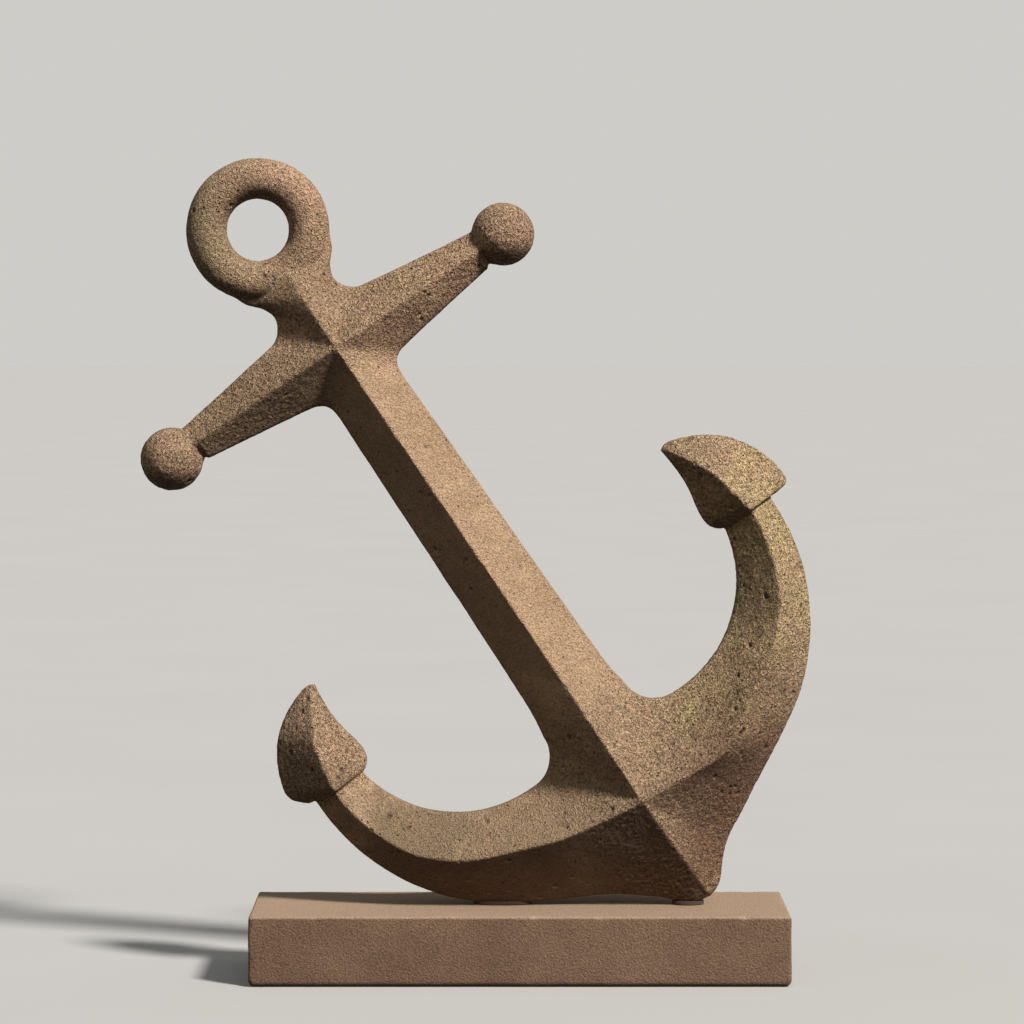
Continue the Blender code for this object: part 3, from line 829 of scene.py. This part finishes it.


# %% [markdown]
# The anchor's stone is tinted with an umber wash that was wiped back while wet. So it is
# tan where a cloth reaches and brown where it doesn't. Each air hole is painted darker as
# the shade inside it, and the skin is painted a little paler where it faces up, as light
# from above. Stains are local: an olive cast on the ring, clay tones about the head, a
# yellow-green run by the crook, sandy yellow up the right arm, and redder stone low on the
# crown and on the balls.
#
# The stains are painted as a colour attribute, a soft spot at a time, because a spot
# belongs to a place on the casting and not to a pattern.

# %% Stains brushed on the castings
TAN, SAND = (0.47, 0.315, 0.195), (0.62, 0.455, 0.238)
OLIVE, MOSS = (0.30, 0.250, 0.140), (0.42, 0.40, 0.15)
RUST, BROWN, PINK = (0.205, 0.108, 0.066), (0.200, 0.142, 0.084), (0.50, 0.315, 0.210)
EARTH, CLAY = (0.26, 0.185, 0.105), (0.66, 0.405, 0.270)
# Each stain: place in the anchor's frame (across, up), radius, colour, strength.
STAINS = [
    ((-0.048, 0.590), 0.070, OLIVE, 0.85),
    ((0.020, 0.585), 0.060, PINK, 0.50),
    ((0.165, 0.441), 0.045, PINK, 0.80),
    ((-0.165, 0.441), 0.045, PINK, 0.80),
    ((0.085, 0.450), 0.060, SAND, 0.50),
    ((-0.095, 0.455), 0.070, OLIVE, 0.50),
    ((-0.080, 0.420), 0.060, RUST, 0.60),
    ((0.000, 0.250), 0.120, TAN, 0.40),
    ((0.040, 0.430), 0.045, CLAY, 0.60),
    ((0.105, 0.422), 0.046, CLAY, 0.80),
    ((0.045, 0.565), 0.050, CLAY, 0.75),
    ((-0.030, 0.475), 0.034, CLAY, 0.60),
    ((0.000, 0.300), 0.150, CLAY, 0.18),
    ((0.095, 0.035), 0.060, SAND, 0.80),
    ((0.072, 0.026), 0.022, MOSS, 0.55),
    ((0.112, 0.020), 0.020, MOSS, 0.55),
    ((0.165, 0.075), 0.085, SAND, 0.90),
    ((0.200, 0.120), 0.070, SAND, 0.90),
    ((0.215, 0.175), 0.070, SAND, 0.90),
    ((0.160, 0.085), 0.034, EARTH, 0.70),
    ((0.205, 0.195), 0.022, PINK, 0.70),
    ((0.075, -0.040), 0.080, RUST, 0.95),
    ((0.135, 0.010), 0.045, RUST, 0.35),
    ((0.030, -0.070), 0.060, RUST, 0.95),
    ((-0.050, -0.015), 0.075, TAN, 0.60),
    ((-0.120, 0.015), 0.090, BROWN, 0.62),
    ((-0.175, 0.065), 0.090, BROWN, 1.00),
    ((-0.222, 0.172), 0.055, BROWN, 0.75),
    ((-0.190, 0.180), 0.030, CLAY, 0.60),
]


def brush_stains(obj):
    points = points_of(obj.data)
    upright = np.array(anchor_frame.inverted())
    across = points @ upright[0, :3] + upright[0, 3]
    up = points @ upright[2, :3] + upright[2, 3]
    ragged = 1 + 0.5 * noise_at(points, 45, 21) + 0.4 * noise_at(points, 140, 22)
    colour = np.tile(np.array([*TAN, 0.0]), (len(points), 1))
    for (x, z), radius, stain, strength in STAINS:
        distance = np.hypot(across - x, up - z) / (radius * ragged)
        inside = np.clip(1.25 - distance, 0, 1)
        share = strength * inside * inside * (3 - 2 * inside)
        colour[:, :3] += (np.array(stain) - colour[:, :3]) * share[:, None]
        colour[:, 3] = np.maximum(colour[:, 3], share)
    layer = obj.data.attributes.new("stain", "FLOAT_COLOR", "POINT")
    layer.data.foreach_set("color", colour.astype(np.float32).ravel())


for obj in castings.values():
    brush_stains(obj)
print(len(STAINS), "stains on", len(castings), "castings")

# %% [markdown]
# The stone's material reads everything that was stored on the skin. The stain gives the
# colour of a place, and the coarse number decides how strongly a wrinkled noise darkens
# and bumps it. Two bumps of different size are stacked, because real sandy stone has
# grains on top of wrinkles. Small pits come from a Voronoi pattern, which spreads them
# without rows, and are painted near black as the shade inside them. Skin that faces down
# is painted dark as the shade under it.

# %% Tinted cast stone
def attribute_node(tree, name):
    node = tree.nodes.new("ShaderNodeAttribute")
    node.attribute_name = name
    return node


def small_pits(tree, place, cell, size, share):
    """Round pits: 1 at a pit's middle and 0 outside. Cells are spread by a Voronoi pattern, and
    the cell's own random colour decides, with the share, whether it holds a pit."""
    cells = tree.nodes.new("ShaderNodeTexVoronoi")
    tree.links.new(place, cells.inputs["Vector"])
    cells.inputs["Scale"].default_value = 1 / cell
    round_pit = ranged(tree, cells.outputs["Distance"], 0.35 * size / cell, size / cell, 1, 0)
    chance = tree.nodes.new("ShaderNodeSeparateColor")
    tree.links.new(cells.outputs["Color"], chance.inputs[0])
    holds = tree.nodes.new("ShaderNodeMath")
    holds.operation = "LESS_THAN"
    tree.links.new(chance.outputs[0], holds.inputs[0])
    tree.links.new(share, holds.inputs[1])
    return times(tree, round_pit, holds.outputs[0])


def times(tree, a, b):
    node = tree.nodes.new("ShaderNodeMath")
    node.operation = "MULTIPLY"
    for socket, value in zip(node.inputs, (a, b)):
        if isinstance(value, bpy.types.NodeSocket):
            tree.links.new(value, socket)
        else:
            socket.default_value = value
    return node.outputs[0]


def tinted_stone():
    material, tree, shader, place = new_finish("tinted cast stone")
    patches = ranged(tree, noise_node(tree, place, 9, 2.5, 0.5, 0.3), 0.36, 0.64)
    colour = mixed(tree, patches, (0.410, 0.268, 0.163), (0.505, 0.342, 0.210))
    stain = attribute_node(tree, "stain")
    stain_share = ranged(tree, stain.outputs["Alpha"], 0.0, 1.0, 0.0, 0.90)
    colour = mixed(tree, stain_share, colour, stain.outputs["Color"])
    mottle = ranged(tree, noise_node(tree, place, 60, 4, 0.6), 0.42, 0.68, 0, 0.30)
    colour = mixed(tree, mottle, colour, (0.27, 0.160, 0.098))
    # Faces that point up are painted paler, as the light from above falls on them.
    painted_top_light = ranged(tree, facing_up(tree), 0.15, 0.95, 0, 0.18)
    colour = mixed(tree, painted_top_light, colour, (0.50, 0.36, 0.23))
    coarse = attribute_node(tree, "coarse").outputs["Fac"]
    sand = ranged(tree, noise_node(tree, place, 620, 2, 0.7), 0.36, 0.64, 0.76, 1.20)
    colour = mixed(tree, 1.0, colour, sand, "MULTIPLY")
    wrinkle = noise_node(tree, place, 400, 2.0, 0.55, 0.4)
    grain_tone = ranged(tree, wrinkle, 0.34, 0.62, 0.78, 1.28)
    grainy = mixed(tree, 1.0, colour, grain_tone, "MULTIPLY")
    colour = mixed(tree, coarse, colour, grainy)
    # Faces that point down are painted dark, as the shade under them.
    painted_underside_shade = ranged(tree, facing_up(tree), -0.62, -0.25, 0.74, 0)
    colour = mixed(tree, painted_underside_shade, colour, (0.085, 0.045, 0.026))
    pitted = attribute_node(tree, "pitted").outputs["Fac"]
    pits = small_pits(tree, place, 0.0050, 0.0012, times(tree, pitted, 0.55))
    # Each pit is painted near black, as the shade inside it.
    colour = mixed(tree, times(tree, pits, 0.90), colour, (0.035, 0.020, 0.014))
    # Air holes are painted darker, as the shade inside them.
    painted_hole_shade = ranged(tree, attribute_node(tree, "air_hole").outputs["Fac"], 0.1, 0.9, 0, 0.5)
    colour = mixed(tree, painted_hole_shade, colour, (0.085, 0.045, 0.03))
    tree.links.new(colour, shader.inputs["Base Color"])
    shader.inputs["Specular IOR Level"].default_value = 0.25
    rough = ranged(tree, noise_node(tree, place, 80), 0.3, 0.7, 0.82, 0.97)
    tree.links.new(rough, shader.inputs["Roughness"])
    normal = bumped(tree, times(tree, wrinkle, coarse), 0.0058, 1.0)
    grain = noise_node(tree, place, 800, 2, 0.6)
    normal = bumped(tree, grain, 0.0028, 1.0, normal)
    tree.links.new(bumped(tree, times(tree, pits, -1.0), 0.0010, 1.0, normal), shader.inputs["Normal"])
    return material


stone = tinted_stone()
for obj in castings.values():
    obj.data.materials.clear()
    obj.data.materials.append(stone)
print("finish:", stone.name)

# %% [markdown]
# The plinth is the same mix, poured face down, so its sides are finer and redder. Its top
# is painted paler, as light from above falls on it.

# %% Plinth stone
def plinth_stone():
    material, tree, shader, place = new_finish("plinth cast stone")
    patches = ranged(tree, noise_node(tree, place, 14, 3, 0.55), 0.36, 0.66)
    colour = mixed(tree, patches, (0.160, 0.095, 0.061), (0.205, 0.126, 0.082))
    # The top is painted paler, as the light from above falls on it.
    painted_top_light = ranged(tree, facing_up(tree), 0.2, 0.95, 0, 0.75)
    colour = mixed(tree, painted_top_light, colour, (0.40, 0.285, 0.195))
    sand = ranged(tree, noise_node(tree, place, 900, 2, 0.7), 0.34, 0.66, 0.62, 1.36)
    colour = mixed(tree, 1.0, colour, sand, "MULTIPLY")
    specks = ranged(tree, noise_node(tree, place, 420, 1, 0.5), 0.66, 0.72, 0, 0.4)
    colour = mixed(tree, specks, colour, (0.08, 0.045, 0.03))
    tree.links.new(colour, shader.inputs["Base Color"])
    shader.inputs["Specular IOR Level"].default_value = 0.25
    rough = ranged(tree, noise_node(tree, place, 90), 0.3, 0.7, 0.85, 0.98)
    tree.links.new(rough, shader.inputs["Roughness"])
    grain = noise_node(tree, place, 620, 3, 0.65)
    tree.links.new(bumped(tree, grain, 0.0014, 0.8), shader.inputs["Normal"])
    return material


plinth.data.materials.clear()
plinth.data.materials.append(plinth_stone())
print("finish:", plinth.data.materials[0].name)

# %% [markdown]
# The pieces inside and under the stone come straight from the design model: their shape
# is right, and only their finish is added. The bars are black rolled steel with a rusty
# bloom, the studs, washers and nuts are zinc plated, and the beds are mortar, painted
# near black as the shade line under the anchor.

# %% Steel, zinc and mortar
def rolled_steel():
    material, tree, shader, place = new_finish("rolled steel bar")
    bloom = ranged(tree, noise_node(tree, place, 160, 4, 0.65), 0.48, 0.68)
    colour = mixed(tree, bloom, (0.045, 0.04, 0.038), (0.20, 0.085, 0.035))
    tree.links.new(colour, shader.inputs["Base Color"])
    tree.links.new(ranged(tree, bloom, 0, 1, 0.45, 0.85), shader.inputs["Roughness"])
    shader.inputs["Metallic"].default_value = 0.85
    tree.links.new(bumped(tree, noise_node(tree, place, 700), 0.0004, 0.5), shader.inputs["Normal"])
    return material


def zinc_plate():
    material, tree, shader, place = new_finish("zinc plate")
    cloud = noise_node(tree, place, 240, 3, 0.6)
    colour = mixed(tree, cloud, (0.46, 0.47, 0.48), (0.66, 0.66, 0.64))
    tree.links.new(colour, shader.inputs["Base Color"])
    tree.links.new(ranged(tree, cloud, 0.3, 0.7, 0.28, 0.45), shader.inputs["Roughness"])
    shader.inputs["Metallic"].default_value = 1.0
    tree.links.new(bumped(tree, noise_node(tree, place, 1400), 0.0002, 0.4), shader.inputs["Normal"])
    return material


def mortar_in_painted_shade():
    material, tree, shader, place = new_finish("bed mortar in painted shade")
    lumps = noise_node(tree, place, 500, 4, 0.7)
    # The mortar is painted near black, as the shade line where the anchor rests on the plinth.
    colour = mixed(tree, lumps, (0.040, 0.022, 0.014), (0.100, 0.058, 0.036))
    tree.links.new(colour, shader.inputs["Base Color"])
    shader.inputs["Roughness"].default_value = 0.95
    tree.links.new(bumped(tree, lumps, 0.0012, 0.8), shader.inputs["Normal"])
    return material


node_finishes = {
    rolled_steel(): ("ring_hoop", "stock_bar", "shank_bar", "arm_bar"),
    zinc_plate(): ("arm_stud", "crown_stud", "arm_washer", "crown_washer", "arm_nut", "crown_nut"),
    mortar_in_painted_shade(): ("arm_bed", "crown_bed"),
}
for material, nodes in node_finishes.items():
    for node in nodes:
        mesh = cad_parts[node].data
        mesh.materials.clear()
        mesh.materials.append(material)
    print("finish:", material.name, "on", len(nodes), "pieces")

# %% [markdown]
# ## Stage, light and camera
#
# A plain pale floor and a pale surround keep the eye on the stone. The surround gives a
# weak fill that keeps the shadows open: paler from above, as the sky is, and nearly none
# from below. The floor doesn't light the stone either (its diffuse visibility is off),
# so the undersides stay as dark as they are over dark paving. Behind the anchor the
# camera sees one even tone, matched to the floor, so that no horizon shows.

# %% Floor and surround
FLOOR_HALF = 30.0
floor_mesh = bpy.data.meshes.new("floor")
floor_corners = [(x * FLOOR_HALF, y * FLOOR_HALF, 0) for x, y in ((-1, -1), (1, -1), (1, 1), (-1, 1))]
floor_mesh.from_pydata(floor_corners, [], [(0, 1, 2, 3)])
floor = bpy.data.objects.new("floor", floor_mesh)
bpy.context.collection.objects.link(floor)
floor.location.z = design_low.z - 0.0002
floor_finish, floor_tree, floor_shader, floor_place = new_finish("pale floor")
floor_cloud = noise_node(floor_tree, floor_place, 3, 2)
floor_colour = mixed(floor_tree, floor_cloud, (0.418, 0.414, 0.407), (0.446, 0.442, 0.435))
floor_tree.links.new(floor_colour, floor_shader.inputs["Base Color"])
floor_shader.inputs["Roughness"].default_value = 0.9
floor_mesh.materials.append(floor_finish)
floor.visible_diffuse = False

world = bpy.data.worlds.new("surround")
world.use_nodes = True
world_tree = world.node_tree
fill_light = world_tree.nodes["Background"]
direction = world_tree.nodes.new("ShaderNodeTexCoord")
height = world_tree.nodes.new("ShaderNodeSeparateXYZ")
world_tree.links.new(direction.outputs["Generated"], height.inputs[0])
below_to_above = world_tree.nodes.new("ShaderNodeMapRange")
below_to_above.inputs["From Min"].default_value = -1
world_tree.links.new(height.outputs["Z"], below_to_above.inputs["Value"])
sky = world_tree.nodes.new("ShaderNodeValToRGB")
world_tree.links.new(below_to_above.outputs[0], sky.inputs["Fac"])
sky.color_ramp.elements[0].color = (0.045, 0.036, 0.027, 1)
sky.color_ramp.elements[1].color = (0.40, 0.415, 0.42, 1)
middle = sky.color_ramp.elements.new(0.5)
middle.color = (0.150, 0.138, 0.118, 1)
world_tree.links.new(sky.outputs["Color"], fill_light.inputs["Color"])
backdrop = world_tree.nodes.new("ShaderNodeBackground")
backdrop.inputs["Color"].default_value = (0.618, 0.606, 0.578, 1)
seen = world_tree.nodes.new("ShaderNodeLightPath")
choose = world_tree.nodes.new("ShaderNodeMixShader")
world_tree.links.new(seen.outputs["Is Camera Ray"], choose.inputs["Fac"])
world_tree.links.new(fill_light.outputs[0], choose.inputs[1])
world_tree.links.new(backdrop.outputs[0], choose.inputs[2])
world_tree.links.new(choose.outputs[0], world_tree.nodes["World Output"].inputs["Surface"])
bpy.context.scene.world = world
print("floor", 2 * FLOOR_HALF, "m across")

# %% [markdown]
# One soft light falls from the right, the front and above, so each right-hand flat is
# bright, each left-hand flat is dark, and the ridges read as clean lines. It grazes the
# sandy skin and brings out the grain. A sun lamp with a disc of nine degrees does this:
# its light is even over the whole piece, and its shadows have soft edges.

# %% Lights
KEY_FROM = Vector((0.543, -0.507, 0.669))
key_data = bpy.data.lights.new("key", "SUN")
key_data.energy = 5.25
key_data.angle = math.radians(9)
key_data.color = (1.0, 0.965, 0.915)
key = bpy.data.objects.new("key", key_data)
bpy.context.collection.objects.link(key)
key.location = KEY_FROM * 4
key.rotation_euler = KEY_FROM.to_track_quat("Z", "Y").to_euler()
print("key light from", [round(v, 2) for v in KEY_FROM])

# %% [markdown]
# The camera stands square to the anchor's broad side, three and a half metres back
# and a little above its middle, with a long lens. A long lens from far back keeps the
# ring and the plinth in true proportion.

# %% Camera
CAMERA_BACK, CAMERA_HEIGHT, CAMERA_SIDE = 3.5, 0.5565, -0.0098
AIM_SIDE, AIM_HEIGHT = -0.0063, 0.3796
camera_data = bpy.data.cameras.new("camera")
camera_data.lens = 150.5
camera_data.sensor_width = 36
camera = bpy.data.objects.new("camera", camera_data)
bpy.context.collection.objects.link(camera)
camera.location = (CAMERA_SIDE, -CAMERA_BACK, CAMERA_HEIGHT)
aim = Vector((AIM_SIDE, 0, AIM_HEIGHT))
camera.rotation_euler = (aim - camera.location).to_track_quat("-Z", "Y").to_euler()
bpy.context.scene.camera = camera
bpy.context.scene.view_settings.view_transform = "Standard"
print("camera", [round(v, 3) for v in camera.location], "lens", camera_data.lens)
